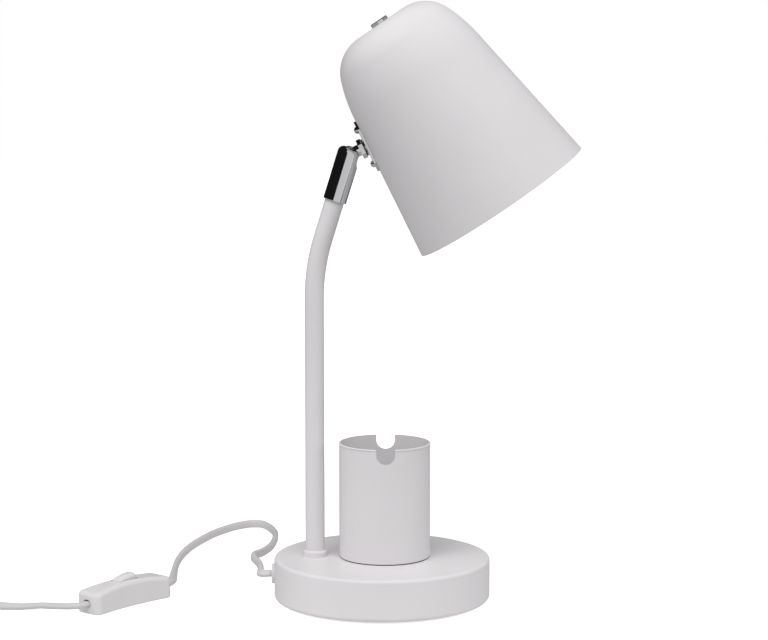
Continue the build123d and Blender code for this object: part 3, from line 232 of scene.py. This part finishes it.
MATERIALS = {
    "powder_coat": powder_coat(),
    "chrome_plate": chrome(),
    "zinc_steel": zinc(),
    "iron_ballast": cast_iron(),
    "turned_brass": brass(),
    "foam_pad": foam(),
    "dark_rubber": dark_rubber(),
    "cord_sheath": sheath(),
    "core_insulation": insulation(),
    "gland_plastic": moulded("gland_plastic", (0.70, 0.70, 0.70), 0.42),
    "switch_plastic": moulded("switch_plastic", (0.74, 0.725, 0.735), 0.38, 2400, 0.00003),
    "rocker_plastic": moulded("rocker_plastic", (0.76, 0.745, 0.755), 0.3, 2600, 0.00001),
    "plug_plastic": moulded("plug_plastic", (0.74, 0.74, 0.74), 0.42),
    "pin_plate": nickel(),
    "tie_band": band(),
    "holder_thermoset": moulded("holder_thermoset", (0.76, 0.75, 0.73), 0.36),
    "holder_ceramic": ceramic(),
    "opal_glass": opal(),
    "bulb_metal": bulb_metal(),
}
MATERIALS = {slot: shader.material for slot, shader in MATERIALS.items()}
for row in frame["record"]["subparts"]:
    node = NODES[row["node"]]
    node.data.materials.clear()
    node.data.materials.append(MATERIALS[row["material_slot"]])


# ---- The free lead: a flat two-core flex, through the switch and into its coil ----
LEAD_WIDTH = 6.2
LEAD_THICK = 3.9
TUBE_RADIUS = 3.1  # of the round solid that stands in for it
BEND_SHARE = 0.45
SWITCH_X, SWITCH_Y, SWITCH_TURN = -177.8, -16.1, 49.6
SWITCH_SPLIT = 6.9
SWITCH_HALF = 35.5
SWITCH_LEAVE = 5.5
GLAND_FACE = -76.9
GLAND_HEIGHT = 18.0
LYING = 3.1
COIL_LOW = 4.2
COIL_X, COIL_Y = -312.0, -72.4
COIL_RADIUS = 42.4
COIL_TURNS = 5.25
COIL_PITCH = 6.8
COIL_LAYER = 6.8
CLIMB_TURNS = 0.5
COIL_STEPS = 30  # a turn
SWITCH_END_HEIGHT = 12.4
EXIT_RUN = 28.0  # from the coil's end to the plug's sleeve
EXIT_LEVEL = 4.0
EXIT_SAG = 0.3
SAG_RUN = 8.0
PLUG_ENTRY = 6.2
PLUG_AXIS = 6.85
EDGE, FLAT = 90.0, 0.0  # how far the lead's width is turned up from level
LYING_BELOW = 4.4  # the height where the lead begins to rest on the floor
BEND_STEPS = 8
THROUGH_STEP = 6  # between the points inside the switch
EXIT_STEPS = 14
EVEN_STEP = 2.2
EASE_PASSES = 24
SECTION_STEPS = 9


def on_switch(x, z=SWITCH_SPLIT):
    turn = math.radians(SWITCH_TURN)
    return (SWITCH_X + x * math.cos(turn), SWITCH_Y + x * math.sin(turn), z)


# x, y, z and the turn of the lead's width
TO_SWITCH = [
    (GLAND_FACE, 0, GLAND_HEIGHT, FLAT),
    (-85, 0, GLAND_HEIGHT, 40),
    (-86, 26, GLAND_HEIGHT, EDGE),
    (-93, 50, 18, EDGE),
    (-92, 60, 17.6, EDGE),
    (-87.6, 74, 15.8, EDGE),
    (-81.8, 104, 13.9, EDGE),
    (-80.6, 140, 12.6, EDGE),
    (-82, 170, 8.8, EDGE),
    (-84.5, 195, 4.8, EDGE),
    (-88, 216, LYING, EDGE),
    (-95.5, 232.3, LYING, EDGE),
    (-105.5, 232.8, LYING, EDGE),
    (-117, 222.5, LYING, EDGE),
    (-131, 198.8, LYING, EDGE),
    (-140.5, 170.6, LYING, EDGE),
    (-146.4, 148.7, LYING, EDGE),
    (-150.8, 120, LYING, EDGE),
    (-152, 92, LYING, EDGE),
    (-151.1, 70, 3.7, 80),
    (-150.3, 54, 4.5, 60),
    (-149.5, 39, 5.4, 35),
    (-148.9, 27, 6.4, 10),
    (*on_switch(SWITCH_HALF + SWITCH_LEAVE), FLAT),
]
TO_COIL = [
    (*on_switch(-SWITCH_HALF - SWITCH_LEAVE), FLAT),
    (-212, -48, 6.5, FLAT),
    (-221, -42.6, 5.3, FLAT),
    (-235, -35.6, 4.2, FLAT),
    (-249, -31.6, 3.3, FLAT),
    (-262, -30.7, LYING, 35),
    (-286, COIL_Y + COIL_RADIUS, COIL_LOW, EDGE),
    (COIL_X + 12, COIL_Y + COIL_RADIUS, COIL_LOW, EDGE),
]


def rounded(corners):
    """Points along straight runs joined by tangent arcs, each with the lead's turn."""
    spots = [Vector(c[:3]) for c in corners]
    turns = [c[3] for c in corners]
    out = [(spots[0], turns[0])]
    for i in range(1, len(spots) - 1):
        back, ahead = spots[i - 1] - spots[i], spots[i + 1] - spots[i]
        cut = BEND_SHARE * min(back.length, ahead.length)
        start = spots[i] + back.normalized() * cut
        end = spots[i] + ahead.normalized() * cut
        for k in range(BEND_STEPS + 1):
            t = k / BEND_STEPS
            point = (1 - t) ** 2 * start + 2 * t * (1 - t) * spots[i] + t * t * end
            out.append((point, turns[i]))
    return out + [(spots[-1], turns[-1])]


def coil_spot(turns):
    """A point of the coil, a number of turns from its start: inward low, then outward on top."""
    layer_turns = (COIL_TURNS - CLIMB_TURNS) / 2
    inner = COIL_RADIUS - COIL_PITCH * layer_turns
    if turns <= layer_turns:
        radius, height = COIL_RADIUS - COIL_PITCH * turns, 0
    elif turns >= layer_turns + CLIMB_TURNS:
        radius, height = inner + COIL_PITCH * (turns - layer_turns - CLIMB_TURNS), COIL_LAYER
    else:
        share = (turns - layer_turns) / CLIMB_TURNS
        radius = inner - COIL_PITCH * CLIMB_TURNS * share * (1 - share)
        height = COIL_LAYER * (3 - 2 * share) * share**2
    angle = math.pi / 2 + 2 * math.pi * turns
    return Vector((COIL_X + radius * math.cos(angle), COIL_Y + radius * math.sin(angle), COIL_LOW + height))


def lead_line():
    """The whole lead's centreline with its turn at each point, in millimetres."""
    line = rounded(TO_SWITCH)
    far = 6 * THROUGH_STEP
    line += [(Vector(on_switch(x)), FLAT) for x in range(far, -far - 1, -THROUGH_STEP)]
    line += rounded(TO_COIL)
    count = round(COIL_TURNS * COIL_STEPS)
    coil = [coil_spot(COIL_TURNS * i / count) for i in range(count + 1)]
    line += [(p, EDGE) for p in coil]
    last = coil[-1]
    drop = COIL_LOW + COIL_LAYER - PLUG_AXIS
    for step in range(1, EXIT_STEPS + 1):
        run = EXIT_RUN * step / EXIT_STEPS
        share = min(1, max(0, (run - EXIT_LEVEL) / (EXIT_RUN - EXIT_LEVEL)))
        sag = EXIT_SAG * min(1, run / SAG_RUN) * (1 - share)
        fall = sag + drop * (3 - 2 * share) * share**2
        line.append((last + Vector((0, -run, -fall)), EDGE + (FLAT - EDGE) * share))
    line.append((last + Vector((0, -EXIT_RUN - PLUG_ENTRY, -drop)), FLAT))
    return line


def spread_evenly(line, step):
    """The line again with its points a step apart, its turn eased over a few steps."""
    places = [0.0]
    for (a, _), (b, _) in zip(line, line[1:]):
        places.append(places[-1] + (b - a).length)
    count = round(places[-1] / step)
    out, i = [], 0
    for k in range(count + 1):
        at = places[-1] * k / count
        while i < len(line) - 2 and places[i + 1] < at:
            i += 1
        width = places[i + 1] - places[i]
        t = (at - places[i]) / width if width > 1e-6 else 0
        (spot, turn), (next_spot, next_turn) = line[i], line[i + 1]
        out.append((spot.lerp(next_spot, t), turn + (next_turn - turn) * t))
    turns = [turn for _, turn in out]
    for _ in range(EASE_PASSES):
        inner = [(a + 2 * b + c) / 4 for a, b, c in zip(turns, turns[1:], turns[2:])]
        turns = [turns[0], *inner, turns[-1]]
    return [(spot, turn) for (spot, _), turn in zip(out, turns)]


def stadium(width, thick, steps):
    """The outline of a flat lead: two half rounds joined by straights."""
    half = (width - thick) / 2
    points = []
    for side in (1, -1):
        for k in range(steps + 1):
            a = math.radians(90 - 180 * k / steps)
            points.append((side * (half + thick / 2 * math.cos(a)), side * thick / 2 * math.sin(a)))
    return points


def band_faces(base, n):
    """The faces between a ring of n points that starts at base and the ring after it."""
    return [(base + k, base + (k + 1) % n, base + n + (k + 1) % n, base + n + k) for k in range(n)]


def linked(name, data):
    """A new object in the scene."""
    made = bpy.data.objects.new(name, data)
    bpy.context.scene.collection.objects.link(made)
    return made


def mesh_piece(name, verts, faces, slot, body):
    """A smooth piece of the part, from its points and faces."""
    mesh = bpy.data.meshes.new(name)
    mesh.from_pydata([tuple(v) for v in verts], [], faces)
    mesh.validate()
    for polygon in mesh.polygons:
        polygon.use_smooth = True
    piece = linked(name, mesh)
    mesh.materials.append(MATERIALS[slot])
    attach(piece, body)
    return piece


def flat_lead(switch_pieces):
    """The whole lead as one tube with a flat section."""
    line = spread_evenly(lead_line(), EVEN_STEP)
    section = stadium(LEAD_WIDTH, LEAD_THICK, SECTION_STEPS)
    verts, faces, path = [], [], []
    n = len(section)
    for i, (point, turn) in enumerate(line):
        ahead = line[min(i + 1, len(line) - 1)][0] - line[max(i - 1, 0)][0]
        ahead.normalize()
        level = ahead.cross(Vector((0, 0, 1))).normalized()
        up = level.cross(ahead)
        a = math.radians(turn)
        across = level * math.cos(a) + up * math.sin(a)
        through = up * math.cos(a) - level * math.sin(a)
        # A lead that lies flat rests lower than the round solid does.
        half_height = (LEAD_WIDTH - LEAD_THICK) / 2 * abs(math.sin(a)) + LEAD_THICK / 2
        lying = max(0.0, min(1.0, LYING_BELOW - point.z))
        point = point - Vector((0, 0, (TUBE_RADIUS - half_height) * lying))
        path.append(point * MM)
        verts += [(point + across * x + through * y) * MM for x, y in section]
        if i:
            faces += band_faces((i - 1) * n, n)
    faces.append(tuple(reversed(range(n))))
    faces.append(tuple(range(len(verts) - n, len(verts))))
    piece = mesh_piece("lead", verts, faces, "cord_sheath", "stand")
    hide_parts("cord_to_switch", "cord_to_coil", "cord_coil", "switch_cores")
    on_it = list(switch_pieces)
    on_it += [NODES[name] for name in ("switch_terminals", "coil_tie", "plug_body", "plug_pins")]


# ---- The switch: its ends a little taller and wider than the plain solid's, and a domed rocker ----
END_LIFT = 2.2
END_FLARE = 0.13  # the share by which an end is wider
ROCKER_PIVOT = 14.4
ROCKER_LEAN = 10.0
ROCKER_SWEEP = 9.5
ROCKER_HALF_WIDTH = 4.0
ROCKER_CORNER = 3.5
ROCKER_FOOT = -1.4  # heights from here on are above the pivot
ROCKER_DOME = 7.1
ROCKER_FALL = 0.0147  # how fast the dome falls off along the rocker
ROCKER_EDGE = 2.2
TRUNNION_RADIUS = 1.2
TRUNNION_END = 6.0
TRUNNION_SIDES = 24
CORNER_STEPS = 8
SIDE_STEPS = 8
EDGE_STEPS = 7
CAP_INSETS = (2.6, 3.0, 3.4, 3.7, 3.9)  # of the rings on the dome, inside its rounded edge
LEAST_CORNER = 0.02


def off_switch(point):
    """A point in metres, in the switch's own axes and millimetres."""
    c, s = math.cos(math.radians(SWITCH_TURN)), math.sin(math.radians(SWITCH_TURN))
    x, y = point.x / MM - SWITCH_X, point.y / MM - SWITCH_Y
    return Vector((x * c + y * s, y * c - x * s, point.z / MM))


def from_switch(point):
    """A point in the switch's own axes and millimetres, in metres."""
    c, s = math.cos(math.radians(SWITCH_TURN)), math.sin(math.radians(SWITCH_TURN))
    x = SWITCH_X + point.x * c - point.y * s
    y = SWITCH_Y + point.x * s + point.y * c
    return Vector((x, y, point.z)) * MM


def shaped_switch_piece(node_name, name):
    """A copy of a CAD piece with its ends flared, and lifted above the shells' joint."""
    node = NODES[node_name]
    mesh = node.data.copy()
    mesh.transform(node.matrix_world)
    for vertex in mesh.vertices:
        spot = off_switch(vertex.co)
        along = min(1.0, abs(spot.x) / SWITCH_HALF)
        spot.y *= 1 + END_FLARE * along**3
        above = max(0.0, spot.z - SWITCH_SPLIT) / (SWITCH_END_HEIGHT - SWITCH_SPLIT)
        spot.z += END_LIFT * along**2 * min(1.0, above)
        vertex.co = from_switch(spot)
    piece = linked(name, mesh)
    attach(piece, "stand")
    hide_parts(node_name)
    return piece


def rounded_plan(inset):
    """The rocker's outline drawn in by an inset, always with the same number of points."""
    corner = max(LEAST_CORNER, ROCKER_CORNER - inset)
    x, y = ROCKER_SWEEP - inset - corner, ROCKER_HALF_WIDTH - inset - corner
    centres = [(x, y), (-x, y), (-x, -y), (x, -y)]
    points = []
    for number, (x, y) in enumerate(centres):
        for k in range(CORNER_STEPS + 1):
            a = math.radians(90 * (number + k / CORNER_STEPS))
            points.append((x + corner * math.cos(a), y + corner * math.sin(a)))
        near = points[-1]
        next_x, next_y = centres[(number + 1) % 4]
        for k in range(1, SIDE_STEPS):
            t = k / SIDE_STEPS
            points.append((near[0] + (next_x - x) * t, near[1] + (next_y - y) * t))
    return points


def rocker_rings():
    """Each ring's inset and its drop below the dome, from the foot (no drop of its own) to the middle."""
    rings = [(0.0, None)]
    for k in range(EDGE_STEPS + 1):
        a = math.radians(90 * k / EDGE_STEPS)
        rings.append((ROCKER_EDGE * (1 - math.cos(a)), ROCKER_EDGE * (1 - math.sin(a))))
    return rings + [(inset, 0.0) for inset in CAP_INSETS]


def domed_rocker():
    """The rocker as a rounded hump with its trunnions, leaned as it is at rest."""
    rings = rocker_rings()
    verts, faces = [], []
    for inset, drop in rings:
        for x, y in rounded_plan(inset):
            height = ROCKER_FOOT if drop is None else ROCKER_DOME - ROCKER_FALL * x * x - drop
            reach = math.sqrt(max(0.0, ROCKER_SWEEP**2 - height**2))
            verts.append(Vector((max(-reach, min(reach, x)), y, height)))
    n = len(verts) // len(rings)
    for ring in range(len(rings) - 1):
        faces += band_faces(ring * n, n)
    faces.append(tuple(reversed(range(n))))
    faces.append(tuple(range(len(verts) - n, len(verts))))
    first, sides = len(verts), TRUNNION_SIDES
    for y in (TRUNNION_END, -TRUNNION_END):
        for k in range(sides):
            a = 2 * math.pi * k / sides
            verts.append(Vector((TRUNNION_RADIUS * math.cos(a), y, TRUNNION_RADIUS * math.sin(a))))
    faces += band_faces(first, sides)
    faces.append(tuple(first + k for k in reversed(range(sides))))
    faces.append(tuple(first + sides + k for k in range(sides)))
    c, s = math.cos(math.radians(ROCKER_LEAN)), math.sin(math.radians(ROCKER_LEAN))
    placed = [
        from_switch(Vector((v.x * c - v.z * s, v.y, ROCKER_PIVOT + v.z * c + v.x * s))) for v in verts
    ]
    piece = mesh_piece("rocker_cap", placed, faces, "rocker_plastic", "rocker")
    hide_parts("switch_rocker")
    return piece


flat_lead([
    shaped_switch_piece("switch_lower", "switch_base"),
    shaped_switch_piece("switch_upper", "switch_cover"),
    shaped_switch_piece("switch_screws", "switch_fixings"),
    domed_rocker(),
])


# ---- Stage: floor, backdrop, cards that the chrome reflects, light and camera ----
NEAR_WHITE, FAR_WHITE = 0.66, 1.0
NEAR_BOUNCE, FAR_BOUNCE = 0.8, 0.2
NEAR_REACH, FAR_REACH = 0.36, 5.0
FLOOR_SHINE = 0.36  # of the floor that shiny pieces reflect
ROOM_SHINE = 0.007
CARD_DISTANCE = 0.7
CARD_HEIGHT = 1.6
CARD_STEPS = 10
# Start and end bearing of each card and its glow: 0 is the camera's side and 90 is +X.
CARDS = [(-18, 44, 0.62), (44, 51, 0.8), (51, 64, 0.007),
         (64, 74, 0.47), (74, 114, 0.31), (114, 128, 0.42), (128, 175, 0.12)]
# Name, place, what it points at, width and height, and watts.
LIGHTS = [
    ("key", (-0.25, -1.35, 2.4), (0, 0, 0.15), (2.4, 2.0), 60),
    ("fill_right", (1.9, -0.3, 0.5), (0, 0, 0.12), (1.2, 0.9), 6),
    ("fill_left", (-1.9, -0.3, 0.5), (0, 0, 0.12), (1.2, 0.9), 6),
    ("back", (0.4, 1.9, 1.6), (0, 0, 0.2), (2.0, 1.4), 8),
]
WORLD_GLOW = 0.3
WHITE, BLACK = (0.8, 0.8, 0.8), (0, 0, 0)
FLOOR_STEP = 0.001  # each hidden floor lies this much below the last
BACKDROP_RADIUS = 7.0
ROOM_RADIUS = 6.5
CAMERA_PLACE = (0.00137, -1.6054, 0.4003)
CAMERA_PITCH = -7.2418  # degrees from level
CAMERA_LENS = 110.17
SENSOR_WIDTH = 36


def plain_material(name, colour, glow):
    """A dull material for the stage, which may glow white."""
    made = bpy.data.materials.new(name)
    made.use_nodes = True
    bsdf = made.node_tree.nodes["Principled BSDF"]
    bsdf.inputs["Base Color"].default_value = (*colour, 1)
    bsdf.inputs["Roughness"].default_value = 0.6
    bsdf.inputs["Specular IOR Level"].default_value = 0.2
    bsdf.inputs["Emission Color"].default_value = (1, 1, 1, 1)
    bsdf.inputs["Emission Strength"].default_value = glow
    return made


def only_seen_by(made, rays):
    """Hides a stage object from every other kind of ray."""
    for ray in ("camera", "diffuse", "glossy", "transmission", "shadow", "volume_scatter"):
        setattr(made, f"visible_{ray}", ray in rays)


def stage_mesh(name, verts, faces, material, seen_by):
    mesh = bpy.data.meshes.new(name)
    mesh.from_pydata(verts, [], faces)
    mesh.materials.append(material)
    made = linked(name, mesh)
    only_seen_by(made, seen_by)


def floor(name, reach, height, colour, glow, seen_by):
    """A level square round the origin."""
    corners = [(x * reach, y * reach, height) for x, y in ((-1, -1), (1, -1), (1, 1), (-1, 1))]
    stage_mesh(name, corners, [(0, 1, 2, 3)], plain_material(name, colour, glow), seen_by)


def brighten_outward(material, low, high, start, end):
    """Lets a material's glow rise with the distance from the origin, in metres."""
    tree = material.node_tree
    place = tree.nodes.new("ShaderNodeTexCoord")
    distance = tree.nodes.new("ShaderNodeVectorMath")
    distance.operation = "LENGTH"
    ramp = tree.nodes.new("ShaderNodeMapRange")
    ramp.interpolation_type = "SMOOTHSTEP"
    set_range(ramp, start, end, low, high)
    tree.links.new(place.outputs["Object"], distance.inputs[0])
    tree.links.new(distance.outputs["Value"], ramp.inputs["Value"])
    tree.links.new(ramp.outputs["Result"], tree.nodes["Principled BSDF"].inputs["Emission Strength"])


# The camera sees a white floor, and dimmer ones below it light the pieces, most of all close by.
floor("floor", FAR_REACH, 0, WHITE, NEAR_WHITE, ("camera",))
brighten_outward(bpy.data.materials["floor"], NEAR_WHITE, FAR_WHITE, NEAR_REACH, 2 * NEAR_REACH)
floor("bounce_near", NEAR_REACH, -FLOOR_STEP, BLACK, NEAR_BOUNCE, ("diffuse",))
floor("bounce_far", FAR_REACH, -2 * FLOOR_STEP, BLACK, FAR_BOUNCE, ("diffuse",))
floor("shine", FAR_REACH, -3 * FLOOR_STEP, BLACK, FLOOR_SHINE, ("glossy",))


def dome(name, radius, glow, seen_by):
    """A sphere round everything that only the named kinds of ray see."""
    bpy.ops.mesh.primitive_uv_sphere_add(segments=64, ring_count=32, radius=radius)
    made = bpy.context.active_object
    made.name = name
    made.data.materials.append(plain_material(name, BLACK, glow))
    only_seen_by(made, seen_by)


dome("backdrop", BACKDROP_RADIUS, 1.0, ("camera",))
dome("dark_room", ROOM_RADIUS, ROOM_SHINE, ("glossy",))


def reflector(name, start, end, glow):
    """An upright curved card between two bearings that only shiny pieces see."""
    steps = CARD_STEPS
    angles = [math.radians(start + (end - start) * i / steps) for i in range(steps + 1)]
    foot = [(CARD_DISTANCE * math.sin(a), -CARD_DISTANCE * math.cos(a)) for a in angles]
    verts = [(x, y, 0) for x, y in foot] + [(x, y, CARD_HEIGHT) for x, y in foot]
    faces = [(i, i + 1, i + steps + 2, i + steps + 1) for i in range(steps)]
    stage_mesh(name, verts, faces, plain_material(name, BLACK, glow), ("glossy",))


for number, (start, end, glow) in enumerate(CARDS):
    reflector(f"card_{number}", start, end, glow)


def area_light(name, place, aim, size, power):
    """A soft light that shiny pieces don't mirror."""
    data = bpy.data.lights.new(name, "AREA")
    data.shape = "RECTANGLE"
    data.size, data.size_y = size
    data.energy = power
    lamp = linked(name, data)
    lamp.location = place
    lamp.rotation_euler = (Vector(aim) - Vector(place)).to_track_quat("-Z", "Y").to_euler()
    lamp.visible_glossy = False


for light in LIGHTS:
    area_light(*light)

world = bpy.data.worlds.new("studio")
world.use_nodes = True
world.node_tree.nodes["Background"].inputs["Color"].default_value = (1, 1, 1, 1)
world.node_tree.nodes["Background"].inputs["Strength"].default_value = WORLD_GLOW
bpy.context.scene.world = world
bpy.context.scene.view_settings.view_transform = "Standard"

camera_data = bpy.data.cameras.new("camera")
camera_data.sensor_fit = "HORIZONTAL"
camera_data.sensor_width = SENSOR_WIDTH
camera_data.lens = CAMERA_LENS
camera = linked("camera", camera_data)
camera.location = CAMERA_PLACE
camera.rotation_euler = (math.radians(90 + CAMERA_PITCH), 0, 0)
bpy.context.scene.camera = camera
